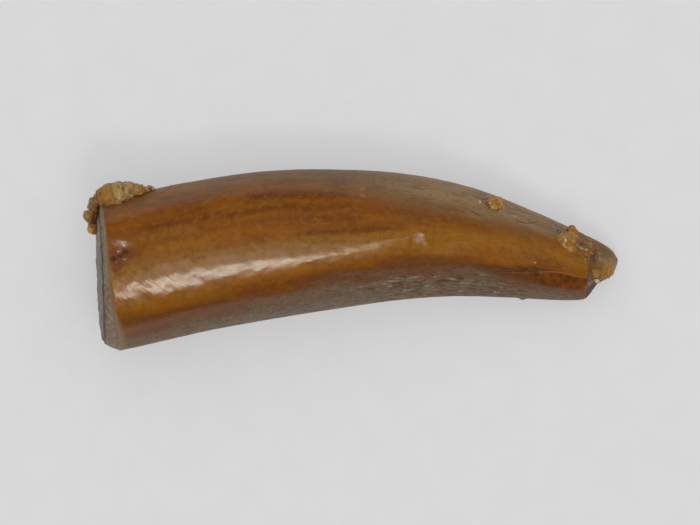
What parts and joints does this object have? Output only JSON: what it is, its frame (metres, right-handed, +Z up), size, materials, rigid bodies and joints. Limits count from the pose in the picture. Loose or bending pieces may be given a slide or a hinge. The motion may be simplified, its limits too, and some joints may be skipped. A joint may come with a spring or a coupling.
{
  "type": "fossil titanosaur tooth",
  "caption": "Slender, gently bent fossil tooth crown lying on its side, broken at the base and chipped at the tip, with clots of sandstone matrix.",
  "frame": {"origin": "on the resting surface, under the middle of the whole piece's box", "axes": "+X from the broken base to the tip, +Y towards the convex edge, +Z up from the surface it lies on"},
  "size_m": [0.0166, 0.0058, 0.0043],
  "materials": {
    "fossil_enamel": "glossy amber-brown fossil enamel with darker streaks along its length",
    "sandstone_matrix": "rough tan sandstone, grains cemented together",
    "amber_grain": "smooth, slightly see-through amber-coloured grain",
    "pale_grit": "pale, dull grit"
  },
  "bodies": {
    "root": {"tooth_crown": "fossil_enamel", "matrix_corner_lump": "sandstone_matrix", "matrix_corner_tail": "sandstone_matrix", "matrix_base_bridge": "sandstone_matrix", "matrix_base_ball": "amber_grain", "matrix_base_nodule": "sandstone_matrix", "matrix_flank_crumb": "sandstone_matrix", "matrix_flank_speck": "sandstone_matrix", "matrix_tip_cluster": "sandstone_matrix", "matrix_facet_crust": "pale_grit", "matrix_facet_lump": "sandstone_matrix", "matrix_facet_bead": "pale_grit", "matrix_facet_grain": "amber_grain"}
  },
  "joints": []
}
